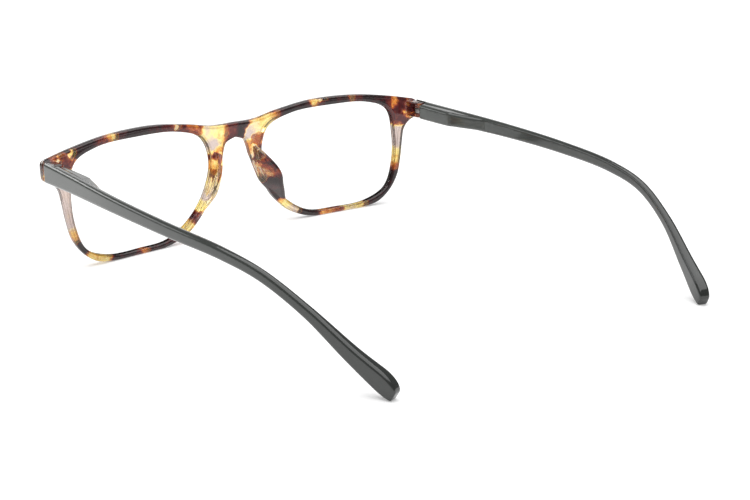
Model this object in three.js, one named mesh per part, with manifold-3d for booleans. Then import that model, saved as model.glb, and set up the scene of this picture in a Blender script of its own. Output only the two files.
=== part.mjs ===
// Folding reading glasses: a moulded tortoiseshell front and two smoke plastic temples on sprung hinges.
// Millimetres. +X is the wearer's left, +Y runs back along the temples and +Z is up.
// Run with the npm packages three and manifold-3d; the default export is the finished group.
import * as THREE from 'three';
import { mergeVertices } from 'three/addons/utils/BufferGeometryUtils.js';
import Module from 'manifold-3d';

const wasm = await Module();
wasm.setup();

// ---- Driving dimensions ----
const FRONT_HALF_WIDTH = 68.8;
const FRONT_THICKNESS = 2.6;
const FRONT_EDGE = 0.7; // rounding of the front's edges
const WRAP = 0.00112; // how fast the front curves back, y = WRAP x^2
const TILT = Math.tan(THREE.MathUtils.degToRad(2.8)); // the top of the front leans forward
const TILT_HEIGHT = 20; // the height at which the tilt moves nothing

const LENS_EDGE = 1.1; // lens thickness at its edge
const LENS_BITE = 0.5; // how far the lens reaches into the rim
const GROOVE_CLEARANCE = 0.12;
const LENS_CROWN = 1.4; // how far the lens bulges forward

const HINGE_X = 66.1; // pin axis
const HINGE_Z = 30.9; // middle of the metal eye
const LUG_RADIUS = 1.6;
const LUG_LOW = 28.6;
const LUG_HIGH = 33.4;
const EYE_HEIGHT = 1.7;
const RUNNING_GAP = 0.15; // between pieces that move on each other
const SEAT_GAP = 0.15; // between pieces that touch
const KNUCKLE_GAP = 0.2; // round the knuckles, where the temple swings past them
const OVER = 1; // how far a cutting shape runs past the face that it opens
const HINGE_BACKSET = 4.5; // pin axis behind the rear face of the front
const SCREW_RADIUS = 0.6;
const SCREW_HEAD_RADIUS = 1.1;
const SCREW_HEAD_HEIGHT = 0.7;
const NUT_RADIUS = 1.05;
const NUT_HEIGHT = 0.7;

const HOUSING_WIDTH = 1.9;
const HOUSING_HEIGHT = 2.0;
const HOUSING_LENGTH = 12;
const HOUSING_WALL = 1.2; // the front wall that the spring pushes on
const BORE_RADIUS = 0.72;
const ROD_RADIUS = 0.3;
const SPRING_WIRE = 0.24;
const SPRING_RADIUS = 0.51; // mean radius of the coil
const SPRING_LENGTH = 7.4;
const SPRING_TURNS = 9;
const COLLAR_LENGTH = 0.8;
const PRESS_CLEARANCE = 0.07; // where a collar or nut is fixed on its rod or screw

const SKIN_INNER_X = HINGE_X + LUG_RADIUS + KNUCKLE_GAP; // the temple's skin passes outside the lugs
const FLEX_SLOPE = Math.tan(THREE.MathUtils.degToRad(6)); // extra mitre on the temple's front end

// ---- Mesh helpers ----
function closedMesh(positions, triangles) {
  let volume = 0;
  const corner = [new THREE.Vector3(), new THREE.Vector3(), new THREE.Vector3()];
  for (let i = 0; i < triangles.length; i += 3) {
    corner.forEach((point, k) => point.fromArray(positions, triangles[i + k] * 3));
    volume += corner[0].dot(corner[1].clone().cross(corner[2]));
  }
  const geometry = new THREE.BufferGeometry();
  geometry.setAttribute('position', new THREE.Float32BufferAttribute(positions, 3));
  geometry.setIndex(volume < 0 ? triangles.slice().reverse() : triangles);
  return geometry;
}

// Joins rings of equal point counts into one closed skin with a fan on each end.
function loft(rings) {
  const count = rings[0].length;
  const positions = rings.flat().flatMap((point) => point.toArray());
  const triangles = [];
  for (let r = 0; r + 1 < rings.length; r += 1) {
    for (let i = 0; i < count; i += 1) {
      const a = r * count + i;
      const b = r * count + ((i + 1) % count);
      triangles.push(a, b, b + count, a, b + count, a + count);
    }
  }
  const capAt = (ring, offset, turned) => {
    const centre = ring.reduce((sum, point) => sum.add(point), new THREE.Vector3()).divideScalar(count);
    const apex = positions.length / 3;
    positions.push(...centre.toArray());
    for (let i = 0; i < count; i += 1) {
      const a = offset + i;
      const b = offset + ((i + 1) % count);
      triangles.push(...(turned ? [apex, b, a] : [apex, a, b]));
    }
  };
  capAt(rings[0], 0, true);
  capAt(rings.at(-1), (rings.length - 1) * count, false);
  return closedMesh(positions, triangles);
}

function solid(geometry) {
  const bare = geometry.clone();
  bare.deleteAttribute('normal');
  bare.deleteAttribute('uv');
  const merged = mergeVertices(bare, 1e-5);
  return new wasm.Manifold(
    new wasm.Mesh({
      numProp: 3,
      vertProperties: new Float32Array(merged.attributes.position.array),
      triVerts: new Uint32Array(merged.index.array),
    }),
  );
}

function geometryOf(manifold) {
  const mesh = manifold.getMesh();
  const geometry = new THREE.BufferGeometry();
  geometry.setAttribute('position', new THREE.BufferAttribute(new Float32Array(mesh.vertProperties), 3));
  geometry.setIndex(new THREE.BufferAttribute(new Uint32Array(mesh.triVerts), 1));
  return geometry;
}

function mirrored(geometry) {
  const copy = geometry.clone();
  copy.applyMatrix4(new THREE.Matrix4().makeScale(-1, 1, 1));
  copy.setIndex(Array.from(copy.index.array).reverse());
  return copy;
}

function block(x0, x1, y0, y1, z0, z1) {
  const geometry = new THREE.BoxGeometry(x1 - x0, y1 - y0, z1 - z0);
  return solid(geometry.translate((x0 + x1) / 2, (y0 + y1) / 2, (z0 + z1) / 2));
}

function uprightCylinder(x, y, z0, z1, radius, sides = 24) {
  const geometry = new THREE.CylinderGeometry(radius, radius, z1 - z0, sides);
  return solid(geometry.rotateX(Math.PI / 2).translate(x, y, (z0 + z1) / 2));
}

function lyingCylinder(x, y0, y1, z, radius, sides = 20) {
  const geometry = new THREE.CylinderGeometry(radius, radius, y1 - y0, sides);
  return solid(geometry.translate(x, (y0 + y1) / 2, z));
}

// ---- Outlines of the front, as x and z of its left half ----
const toVector = ([x, z]) => new THREE.Vector2(x, z);
const spline = (points, steps) => new THREE.SplineCurve(points.map(toVector)).getPoints(steps);

function frontHalfOutline() {
  const brow = spline([
    [0, 34.5], [8, 34.6], [17, 36.3], [30, 37.9], [45, 37.6], [58, 35.8], [67.4, 33.9],
  ], 30);
  const corner = new THREE.QuadraticBezierCurve(
    new THREE.Vector2(67.4, 33.9),
    new THREE.Vector2(FRONT_HALF_WIDTH, 33.5),
    new THREE.Vector2(FRONT_HALF_WIDTH, 32.3),
  ).getPoints(4);
  const cheek = spline(
    [[FRONT_HALF_WIDTH, 29.4], [68.3, 27.9], [65.6, 26.6], [63.6, 24.2], [62.8, 20.5], [61.9, 15],
      [60.4, 9.2], [57, 4.2], [52, 0.9], [45, 0]],
    34,
  );
  const nose = spline(
    [[29, 0], [24, 1], [19, 3.2], [15.8, 5.8], [12.4, 9.6], [8.6, 16.2], [6.7, 20], [5.2, 23.6],
      [4.5, 26.4], [3.3, 28.7], [0, 29.9]],
    34,
  );
  return [...brow, ...corner.slice(1), ...cheek, ...nose];
}

// The lens opening, an outline that the groove and the lens share, moved outwards by grow.
const OPENING = [
  [9.5, 23.5], [12.1, 31.2], [21, 34.6], [36, 35.4], [50, 34.6], [57.9, 31.2], [59.8, 22.5], [59.2, 13.2],
  [56.1, 5.7], [48.3, 2.1], [36.5, 1.6], [26.5, 2.3], [18, 7.2], [12.2, 14.5],
];
function opening(grow, count = 56) {
  const corners = OPENING.map(([x, z]) => new THREE.Vector3(x, z, 0));
  const curve = new THREE.CatmullRomCurve3(corners, true, 'centripetal');
  return Array.from({ length: count }, (_, i) => {
    const point = curve.getPoint(i / count);
    const along = curve.getTangent(i / count);
    return new THREE.Vector2(point.x + grow * -along.y, point.y + grow * along.x);
  });
}

const frontY = (x, z) => WRAP * x * x - TILT * (z - TILT_HEIGHT);

// Takes a solid drawn flat, with y as its depth behind a flat front, onto the curved and tilted front.
function curveFront(geometry) {
  const position = geometry.attributes.position;
  for (let i = 0; i < position.count; i += 1) {
    position.setY(i, position.getY(i) + frontY(position.getX(i), position.getZ(i)));
  }
  return geometry;
}

function plate(points, holes, depth, thickness, edge) {
  // An anticlockwise outline makes ExtrudeGeometry turn the holes the right way round.
  const shape = new THREE.Shape(THREE.ShapeUtils.isClockWise(points) ? points.toReversed() : points);
  shape.holes = holes.map((hole) => new THREE.Path(hole));
  const geometry = new THREE.ExtrudeGeometry(shape, {
    depth: thickness - 2 * edge,
    bevelEnabled: edge > 0,
    bevelThickness: edge,
    bevelSize: edge,
    bevelOffset: -edge,
    bevelSegments: 2,
  });
  return geometry.rotateX(Math.PI / 2).translate(0, depth + thickness - edge, 0);
}

// ---- Front frame ----
const hingeY = frontY(HINGE_X, HINGE_Z) + FRONT_THICKNESS + HINGE_BACKSET;

// One nose pad, moulded on the nasal rim: a fin of flat oval sections that leans outwards as it runs back.
function nosePad() {
  const LOW = 5.8;
  const HIGH = 27.2;
  const ROOT = 1.4;
  const REACH = 6.4;
  const LEAN = 0.55;
  const STATIONS = 14;
  const nasalEdge = new THREE.SplineCurve(
    [[5.8, 16.2], [9.6, 12.4], [16.2, 8.6], [20, 6.7], [23.6, 5.3], [27.2, 5]].map(toVector), // z, then x
  );
  const rings = Array.from({ length: STATIONS + 1 }, (_, i) => {
    const share = i / STATIONS;
    const edge = nasalEdge.getPoint(share);
    const reach = REACH * Math.sin(Math.PI * share ** 1.25) ** 0.9;
    const radius = 1.05 - 0.25 * Math.abs(2 * share - 1);
    return Array.from({ length: 12 }, (_unused, k) => {
      const angle = (2 * Math.PI * k) / 12;
      const back = ROOT + (Math.sin(angle) > 0.01 ? reach : 0);
      return new THREE.Vector3(
        edge.y + radius + LEAN * (back - ROOT) + radius * Math.cos(angle),
        back + radius * Math.sin(angle),
        THREE.MathUtils.lerp(LOW, HIGH, share),
      );
    });
  });
  return loft(rings);
}

function lugs() {
  const root = hingeY - HINGE_BACKSET - 1; // inside the front
  const reach = LUG_RADIUS + OVER;
  const slot = EYE_HEIGHT / 2 + RUNNING_GAP;
  return block(HINGE_X - LUG_RADIUS, HINGE_X + LUG_RADIUS, root, hingeY, LUG_LOW, LUG_HIGH)
    .add(uprightCylinder(HINGE_X, hingeY, LUG_LOW, LUG_HIGH, LUG_RADIUS, 32))
    .subtract(block(HINGE_X - reach, HINGE_X + reach, hingeY - LUG_RADIUS - KNUCKLE_GAP, hingeY + reach,
      HINGE_Z - slot, HINGE_Z + slot));
}

function screwHoles() {
  const low = LUG_LOW - OVER;
  const high = LUG_HIGH + OVER;
  const headSeat = LUG_HIGH - SCREW_HEAD_HEIGHT - SEAT_GAP;
  const nutSeat = LUG_LOW + NUT_HEIGHT + SEAT_GAP;
  return uprightCylinder(HINGE_X, hingeY, low, high, SCREW_RADIUS + RUNNING_GAP)
    .add(uprightCylinder(HINGE_X, hingeY, headSeat, high, SCREW_HEAD_RADIUS + SEAT_GAP))
    .add(uprightCylinder(HINGE_X, hingeY, low, nutSeat, NUT_RADIUS + SEAT_GAP, 6));
}

const bothSides = (manifold) => manifold.add(solid(mirrored(geometryOf(manifold))));

function frontFrame() {
  const half = frontHalfOutline();
  const otherHalf = half.slice(1, -1).reverse().map((point) => new THREE.Vector2(-point.x, point.y));
  const hole = opening(0);
  const groove = LENS_EDGE + 2 * GROOVE_CLEARANCE;
  const grooveFront = (FRONT_THICKNESS - groove) / 2;
  const grooveCut = plate(opening(LENS_BITE + GROOVE_CLEARANCE), [], grooveFront, groove, 0);
  const flat = solid(plate([...half, ...otherHalf], [hole, hole.map((p) => new THREE.Vector2(-p.x, p.y))],
    0, FRONT_THICKNESS, FRONT_EDGE))
    .add(bothSides(solid(nosePad())))
    .subtract(bothSides(solid(grooveCut)));
  const curved = solid(curveFront(geometryOf(flat)));
  return geometryOf(curved.add(bothSides(lugs())).subtract(bothSides(screwHoles())));
}

// ---- Lenses ----
function lens() {
  const centre = new THREE.Vector2(35.5, 19); // optical centre
  const edge = opening(LENS_BITE);
  const crown = (share) => LENS_CROWN * (1 - share * share);
  const ring = (share, depth) => edge.map((point) => {
    const at = centre.clone().lerp(point, share);
    return new THREE.Vector3(at.x, depth - crown(share), at.y);
  });
  const shares = [0.02, 0.3, 0.55, 0.8, 1];
  const front = (FRONT_THICKNESS - LENS_EDGE) / 2;
  const rings = [
    ...shares.map((share) => ring(share, front)),
    ...shares.toReversed().map((share) => ring(share, front + LENS_EDGE)),
  ];
  return curveFront(loft(rings));
}

// ---- Temple ----
// The middle line of the temple's outer face from the front to the tip, then its height and thickness there.
const TEMPLE_LINE = [
  [68.8, 5, 30.7, 6.1, 2.7], [69.6, 22, 30.5, 5.3, 2.6],
  [70.9, 48, 29.85, 4.3, 2.4], [70.7, 75, 28.7, 3.7, 2.3],
  [68.8, 97, 27.1, 3.3, 2.3], [66.5, 111, 24.2, 3.1, 2.2], [62.9, 124, 17.7, 3.2, 2.3],
  [58.8, 136, 9.0, 4.3, 3.0], [54.9, 146.6, 1.85, 5.6, 3.7],
];

// A rounded rectangle: out runs from the outer face inwards, up from the middle.
function section(thickness, height, radius) {
  const CORNER_STEPS = 3;
  const corners = [[-radius, height / 2 - radius, 0], [radius - thickness, height / 2 - radius, 1],
    [radius - thickness, radius - height / 2, 2], [-radius, radius - height / 2, 3]];
  return corners.flatMap(([out, up, quarter]) => Array.from({ length: CORNER_STEPS + 1 }, (_, i) => {
    const angle = (Math.PI / 2) * (quarter + i / CORNER_STEPS);
    return new THREE.Vector2(out + radius * Math.cos(angle), up + radius * Math.sin(angle));
  }));
}

function templeBar(frontFaceY) {
  const STATIONS = 46;
  const EDGE = 0.95;
  const TIP_LENGTH = 6.5; // the rounded end, whose top curves down to a small flat
  const TIP_FLAT = 0.38; // share of the full height left at the very end
  const TIP_DROP = 0.6; // 1 would keep the tip's underside straight, 0 its middle
  const line = new THREE.CatmullRomCurve3(TEMPLE_LINE.map(([x, y, z]) => new THREE.Vector3(x, y, z)));
  const sizes = new THREE.SplineCurve(TEMPLE_LINE.map((row) => toVector(row.slice(3))));
  const length = line.getLength();
  const rings = [];
  const station = (t) => {
    const point = line.getPoint(t);
    const along = line.getTangent(t);
    const out = new THREE.Vector3().crossVectors(along, new THREE.Vector3(0, 0, 1)).normalize();
    const up = new THREE.Vector3().crossVectors(out, along);
    const left = Math.min(length * (1 - t) / TIP_LENGTH, 1);
    const share = TIP_FLAT + (1 - TIP_FLAT) * Math.sqrt(1 - (1 - left) ** 2);
    const size = sizes.getPoint(t);
    const thinning = (1 + share) / 2;
    const shape = section(size.y * thinning, size.x * share, EDGE * share);
    const inset = (size.y * (1 - thinning)) / 2;
    const drop = (TIP_DROP * size.x * (1 - share)) / 2;
    return shape.map((p) => point.clone().addScaledVector(out, p.x - inset).addScaledVector(up, p.y - drop));
  };
  const TIP_SHARE = 0.035; // the last part of the line, where the stations come closer together
  const TIP_STATIONS = 6;
  for (let i = 0; i <= STATIONS; i += 1) rings.push(station((i / STATIONS) * (1 - TIP_SHARE)));
  for (let i = 1; i <= TIP_STATIONS; i += 1) {
    rings.push(station(1 - TIP_SHARE * (1 - Math.sin((Math.PI / 2) * (i / TIP_STATIONS)))));
  }
  // Everything in front of the mitred front face is cut off.
  const [INSIDE_X, OUTSIDE_X, FAR_FRONT, TALL] = [60, 80, -20, 40];
  const mitre = new THREE.Shape([
    [INSIDE_X, FAR_FRONT], [OUTSIDE_X, FAR_FRONT],
    [OUTSIDE_X, frontFaceY(OUTSIDE_X)], [INSIDE_X, frontFaceY(INSIDE_X)],
  ].map(toVector));
  const cut = solid(new THREE.ExtrudeGeometry(mitre, { depth: TALL, bevelEnabled: false }));
  return solid(loft(rings)).subtract(cut);
}

// The thicker inner side behind the hinge, which holds the spring housing: distance back, inner x, then its
// height at the inner face and where it joins the bar.
const BULGE_SHAPE = [
  [0, 64.5, 4.7, 5.3], [12.5, 64.5, 4.6, 4.9], [15.5, 65, 4.4, 4.7], [19, 65.8, 4.2, 4.5], [23, 66.9, 4, 4.3],
  [27, 68, 3.8, 4.1], [29, 68.5, 3.6, 3.9],
];

function templeBulge(startY) {
  const rings = BULGE_SHAPE.map(([back, innerX, innerHeight, outerHeight]) => {
    const outerX = 68 + 0.06 * back; // inside the temple bar, which bows outwards
    const thickness = outerX - innerX;
    const middleZ = HINGE_Z - 0.3 - 0.02 * back;
    return section(thickness, outerHeight, Math.min(1, 0.45 * thickness)).map((p) => {
      const taper = THREE.MathUtils.lerp(1, innerHeight / outerHeight, -p.x / thickness);
      return new THREE.Vector3(outerX + p.x, startY + back, middleZ + p.y * taper);
    });
  });
  return solid(loft(rings));
}

function temple() {
  const bulgeY = hingeY + LUG_RADIUS + KNUCKLE_GAP;
  const MITRE_GAP = 0.25; // from the rear of the front, at the bottom of the temple
  const rearAtSkin = frontY(SKIN_INNER_X, HINGE_Z - 3) + FRONT_THICKNESS + MITRE_GAP;
  const STEP = 5; // the knuckle space runs this far above and below the lugs
  const frontFaceY = (x) => rearAtSkin + (x - SKIN_INNER_X) * (2 * WRAP * FRONT_HALF_WIDTH + FLEX_SLOPE);
  const wide = SEAT_GAP + HOUSING_WIDTH / 2;
  const tall = SEAT_GAP + HOUSING_HEIGHT / 2;
  const pocket = block(HINGE_X - wide, HINGE_X + wide, bulgeY - OVER, bulgeY + HOUSING_LENGTH + 2 * SEAT_GAP,
    HINGE_Z - tall, HINGE_Z + tall);
  return geometryOf(
    templeBar(frontFaceY)
      .subtract(block(HINGE_X - LUG_RADIUS, SKIN_INNER_X, 0, bulgeY, LUG_LOW - STEP, LUG_HIGH + STEP))
      .add(templeBulge(bulgeY))
      .subtract(pocket),
  );
}

// ---- Spring hinge ----
const housingY = hingeY + LUG_RADIUS + KNUCKLE_GAP + SEAT_GAP;
const springY = housingY + HOUSING_WALL + SEAT_GAP;
const collarY = springY + SPRING_LENGTH + SEAT_GAP;

function springHousing() {
  const end = housingY + HOUSING_LENGTH;
  return geometryOf(
    block(HINGE_X - HOUSING_WIDTH / 2, HINGE_X + HOUSING_WIDTH / 2, housingY, end,
      HINGE_Z - HOUSING_HEIGHT / 2, HINGE_Z + HOUSING_HEIGHT / 2)
      .subtract(lyingCylinder(HINGE_X, housingY + HOUSING_WALL, end + OVER, HINGE_Z, BORE_RADIUS))
      .subtract(lyingCylinder(HINGE_X, housingY - OVER, end, HINGE_Z, ROD_RADIUS + RUNNING_GAP)),
  );
}

function slider() {
  const EYE_RADIUS = LUG_RADIUS - 0.1;
  const EYE_LOW = HINGE_Z - EYE_HEIGHT / 2;
  const eye = uprightCylinder(HINGE_X, hingeY, EYE_LOW, EYE_LOW + EYE_HEIGHT, EYE_RADIUS, 32);
  const NECK = 0.5; // half the width of the neck between the eye and the rod
  const NECK_RISE = 0.6; // half its height
  const ROD_END = 0.3; // the riveted end past the collar
  const neck = block(HINGE_X - NECK, HINGE_X + NECK, hingeY, housingY - RUNNING_GAP,
    HINGE_Z - NECK_RISE, HINGE_Z + NECK_RISE);
  const rod = lyingCylinder(HINGE_X, hingeY, collarY + COLLAR_LENGTH + ROD_END, HINGE_Z, ROD_RADIUS);
  return geometryOf(
    eye.add(neck).add(rod)
      .subtract(uprightCylinder(HINGE_X, hingeY, LUG_LOW, LUG_HIGH, SCREW_RADIUS + RUNNING_GAP)),
  );
}

function collar() {
  return geometryOf(
    lyingCylinder(HINGE_X, collarY, collarY + COLLAR_LENGTH, HINGE_Z, BORE_RADIUS - RUNNING_GAP)
      .subtract(lyingCylinder(HINGE_X, collarY - OVER, collarY + COLLAR_LENGTH + OVER, HINGE_Z,
        ROD_RADIUS + PRESS_CLEARANCE)),
  );
}

class Helix extends THREE.Curve {
  getPoint(t) {
    const angle = 2 * Math.PI * SPRING_TURNS * t;
    const along = springY + SPRING_WIRE / 2 + (SPRING_LENGTH - SPRING_WIRE) * t;
    const [aside, above] = [SPRING_RADIUS * Math.cos(angle), SPRING_RADIUS * Math.sin(angle)];
    return new THREE.Vector3(HINGE_X + aside, along, HINGE_Z + above);
  }
}

function coilSpring() {
  const wire = new THREE.Shape(Array.from({ length: 6 }, (_, i) => {
    const angle = (Math.PI / 3) * i;
    return new THREE.Vector2((SPRING_WIRE / 2) * Math.cos(angle), (SPRING_WIRE / 2) * Math.sin(angle));
  }));
  const steps = SPRING_TURNS * 10;
  const geometry = new THREE.ExtrudeGeometry(wire, { steps, extrudePath: new Helix(), bevelEnabled: false });
  return geometryOf(solid(geometry));
}

function hingeScrew() {
  const HEAD_LOW = LUG_HIGH - SCREW_HEAD_HEIGHT;
  const SLOT = 0.15; // half the width of the driver slot
  const SLOT_DEPTH = 0.3;
  const TOP = LUG_HIGH - 0.05; // just below the lug's top
  return geometryOf(
    uprightCylinder(HINGE_X, hingeY, LUG_LOW + 0.1, HEAD_LOW + 0.1, SCREW_RADIUS)
      .add(uprightCylinder(HINGE_X, hingeY, HEAD_LOW, TOP, SCREW_HEAD_RADIUS))
      .subtract(block(HINGE_X - LUG_RADIUS, HINGE_X + LUG_RADIUS, hingeY - SLOT, hingeY + SLOT,
        TOP - SLOT_DEPTH, TOP + OVER)),
  );
}

function hingeNut() {
  return geometryOf(
    uprightCylinder(HINGE_X, hingeY, LUG_LOW, LUG_LOW + NUT_HEIGHT, NUT_RADIUS, 6)
      .subtract(uprightCylinder(HINGE_X, hingeY, LUG_LOW - OVER, LUG_LOW + NUT_HEIGHT + OVER,
        SCREW_RADIUS + PRESS_CLEARANCE)),
  );
}

// ---- Materials ----
const TORTOISE = new THREE.MeshStandardMaterial({ color: 0x6b3417, roughness: 0.15, metalness: 0 });
const SMOKE = new THREE.MeshStandardMaterial({ color: 0x24282a, roughness: 0.2, metalness: 0 });
const CLEAR = new THREE.MeshStandardMaterial({
  color: 0xdfe8ea, roughness: 0.05, metalness: 0, transparent: true, opacity: 0.4,
});
const STEEL = new THREE.MeshStandardMaterial({ color: 0x9b9d9f, roughness: 0.35, metalness: 1 });
const SPRING_STEEL = new THREE.MeshStandardMaterial({ color: 0x77797c, roughness: 0.3, metalness: 1 });

// ---- Assembly ----
const glasses = new THREE.Group();

function place(name, geometry, material) {
  const mesh = new THREE.Mesh(geometry, material);
  mesh.name = name;
  glasses.add(mesh);
}

place('front_frame', frontFrame(), TORTOISE);
const PAIRED = [
  ['lens', lens(), CLEAR],
  ['temple', temple(), SMOKE],
  ['spring_housing', springHousing(), STEEL],
  ['hinge_slider', slider(), STEEL],
  ['coil_spring', coilSpring(), SPRING_STEEL],
  ['rod_collar', collar(), STEEL],
  ['hinge_screw', hingeScrew(), STEEL],
  ['hinge_nut', hingeNut(), STEEL],
];
PAIRED.forEach(([name, geometry, material]) => {
  place(`${name}_left`, geometry, material);
  place(`${name}_right`, mirrored(geometry), material);
});

// The row's origin is the middle of the bottom of the whole object's box.
const box = new THREE.Box3().setFromObject(glasses);
glasses.position.set(0, -(box.min.y + box.max.y) / 2, -box.min.z);

export default glasses;
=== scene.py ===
"""Folding reading glasses: polished tortoiseshell front, clear lenses, smoke temples, steel spring hinges.

Every length below is in millimetres in the row frame unless its name says otherwise: +X is the wearer's left,
+Y runs back along the temples and +Z is up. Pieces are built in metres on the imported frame.
"""

import math

import bmesh
import bpy
import numpy as np
from mathutils import Matrix, Vector, noise
from mathutils.kdtree import KDTree


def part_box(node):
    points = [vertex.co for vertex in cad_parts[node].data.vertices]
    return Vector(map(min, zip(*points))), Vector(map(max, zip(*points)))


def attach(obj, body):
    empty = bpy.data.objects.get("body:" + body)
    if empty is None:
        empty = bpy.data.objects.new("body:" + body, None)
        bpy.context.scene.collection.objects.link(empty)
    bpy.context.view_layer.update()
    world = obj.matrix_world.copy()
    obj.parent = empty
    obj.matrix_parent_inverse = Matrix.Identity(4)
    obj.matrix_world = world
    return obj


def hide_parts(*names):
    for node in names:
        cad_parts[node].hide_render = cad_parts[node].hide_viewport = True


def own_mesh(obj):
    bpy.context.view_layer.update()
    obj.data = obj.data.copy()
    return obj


MM = 0.001
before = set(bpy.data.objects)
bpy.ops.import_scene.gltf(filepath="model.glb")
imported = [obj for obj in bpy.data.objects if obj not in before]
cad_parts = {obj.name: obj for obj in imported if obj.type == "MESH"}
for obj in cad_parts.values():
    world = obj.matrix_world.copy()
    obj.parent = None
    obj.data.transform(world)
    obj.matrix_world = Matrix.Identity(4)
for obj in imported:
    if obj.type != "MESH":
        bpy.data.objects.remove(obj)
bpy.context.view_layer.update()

# ---- Driving dimensions, the same as the CAD part's ----
FRONT_THICKNESS = 2.6
FRONT_EDGE = 0.6
WRAP = 0.00112
TILT = math.tan(math.radians(2.8))
TILT_HEIGHT = 20
LENS_EDGE = 1.1
LENS_BITE = 0.5
GROOVE_CLEARANCE = 0.12
LENS_CROWN = 1.4
HINGE_X = 66.1
HINGE_Z = 30.9
LUG_RADIUS = 1.6
LUG_LOW = 28.6
LUG_HIGH = 33.4
EYE_HEIGHT = 1.7
RUNNING_GAP = 0.15
KNUCKLE_GAP = 0.2
SEAT_GAP = 0.15
HINGE_BACKSET = 4.5
SCREW_RADIUS = 0.6
SCREW_HEAD_RADIUS = 1.1
SCREW_HEAD_HEIGHT = 0.7
NUT_RADIUS = 1.05
NUT_HEIGHT = 0.7
HOUSING_WIDTH = 1.9
HOUSING_HEIGHT = 2.0
HOUSING_LENGTH = 12
SKIN_INNER_X = HINGE_X + LUG_RADIUS + KNUCKLE_GAP
FLEX_SLOPE = math.tan(math.radians(6))
VOXEL = 0.22
OVERCUT = 1  # how far a cutter runs past the surface it opens
DRAWN_HINGE_Y = WRAP * HINGE_X**2 - TILT * (HINGE_Z - TILT_HEIGHT) + FRONT_THICKNESS + HINGE_BACKSET
screw_low, screw_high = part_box("hinge_screw_left")
SHIFT = (screw_low.y + screw_high.y) / 2 / MM - DRAWN_HINGE_Y  # from drawing depth to the row's y
HINGE_Y = DRAWN_HINGE_Y + SHIFT

FRONT_HALF_WIDTH = 68.8
# Half of the front's outline, in x and z: brow, upper outer corner, cheek, lower rim and nose.
BROW = [(0, 34.5), (8, 34.6), (17, 36.3), (30, 37.9), (45, 37.6), (58, 35.8), (67.4, 33.9)]
CORNER_PULL_Z = 33.5
CORNER_END_Z = 32.3
CHEEK = [
    (FRONT_HALF_WIDTH, 29.4), (68.3, 27.9), (65.6, 26.6), (63.6, 24.2), (62.8, 20.5), (61.9, 15), (60.4, 9.2),
    (57, 4.2), (52, 0.9), (45, 0),
]
NOSE = [
    (29, 0), (24, 1), (19, 3.2), (15.8, 5.8), (12.4, 9.6), (8.6, 16.2), (6.7, 20), (5.2, 23.6), (4.5, 26.4),
    (3.3, 28.7), (0, 29.9),
]
OPENING = [
    (9.5, 23.5), (12.1, 31.2), (21, 34.6), (36, 35.4), (50, 34.6), (57.9, 31.2), (59.8, 22.5), (59.2, 13.2),
    (56.1, 5.7), (48.3, 2.1), (36.5, 1.6), (26.5, 2.3), (18, 7.2), (12.2, 14.5),
]
# The nose pad's inner edge: height, then distance from the middle of the front.
NASAL_EDGE = [(5.8, 16.2), (9.6, 12.4), (16.2, 8.6), (20, 6.7), (23.6, 5.3), (27.2, 5)]
PAD_LOW = 5.8
PAD_HIGH = 27.2
PAD_ROOT = 1.4
PAD_REACH = 6.4
PAD_LEAN = 0.55
PAD_SKEW = 1.25
PAD_FULLNESS = 0.9
PAD_RADIUS = 1.05
PAD_NARROWING = 0.25
# The middle line of the temple's outer face from the front to the tip, then its height and thickness there.
TEMPLE_LINE = [
    (68.8, 5, 30.7, 6.1, 2.7), (69.6, 22, 30.5, 5.3, 2.6), (70.9, 48, 29.85, 4.3, 2.4),
    (70.7, 75, 28.7, 3.7, 2.3), (68.8, 97, 27.1, 3.3, 2.3), (66.5, 111, 24.2, 3.1, 2.2),
    (62.9, 124, 17.7, 3.2, 2.3), (58.8, 136, 9.0, 4.3, 3.0), (54.9, 146.6, 1.85, 5.6, 3.7),
]
TIP_LENGTH = 6.5
TIP_FLAT = 0.38
TIP_DROP = 0.6
TEMPLE_EDGE = 0.95
TEMPLE_GAP = 0.25
# The thicker inner side behind the hinge: distance back, inner x, height at the inner face and at the bar.
BULGE_SHAPE = [
    (0, 64.5, 4.7, 5.3), (12.5, 64.5, 4.6, 4.9), (15.5, 65, 4.4, 4.7), (19, 65.8, 4.2, 4.5),
    (23, 66.9, 4, 4.3), (27, 68, 3.8, 4.1), (29, 68.5, 3.6, 3.9),
]
BULGE_OUTER_X = 68
BULGE_SPREAD = 0.06
BULGE_DROP = 0.3
BULGE_FALL = 0.02
BULGE_EDGE = 1.0
LENS_CENTRE = (35.5, 19)
# Shares of the way from the lens's middle to its edge.
LENS_RINGS = [0.01, 0.12, 0.24, 0.36, 0.48, 0.6, 0.7, 0.8, 0.88, 0.94, 1.0]
WIRE_RADIUS = 0.12
SPRING_TURNS = 9


# ---- Curves ----
def through(points, steps, closed=False, power=0.0):
    """Points on a smooth curve through the given ones; power 0.5 spaces the knots by distance."""
    pts = np.array(points, float)
    n = len(pts)
    spans = n if closed else n - 1
    out = []
    for i in range(spans):
        if closed:
            p0, p1, p2, p3 = (pts[(i + k) % n] for k in (-1, 0, 1, 2))
        else:
            p1, p2 = pts[i], pts[i + 1]
            p0 = pts[i - 1] if i > 0 else (2 * p1 - p2 if power else p1)
            p3 = pts[i + 2] if i + 2 < n else (2 * p2 - p1 if power else p2)
        pairs = ((p0, p1), (p1, p2), (p2, p3))
        d0, d1, d2 = (max(float(np.linalg.norm(b - a)), 1e-6) ** power for a, b in pairs)
        t1 = ((p1 - p0) / d0 - (p2 - p0) / (d0 + d1) + (p2 - p1) / d1) * d1
        t2 = ((p2 - p1) / d1 - (p3 - p1) / (d1 + d2) + (p3 - p2) / d2) * d1
        for k in range(steps):
            t = k / steps
            out.append(
                p1 + t1 * t + (-3 * p1 + 3 * p2 - 2 * t1 - t2) * t**2 + (2 * p1 - 2 * p2 + t1 + t2) * t**3
            )
    if not closed:
        out.append(pts[-1])
    return np.array(out)


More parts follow.
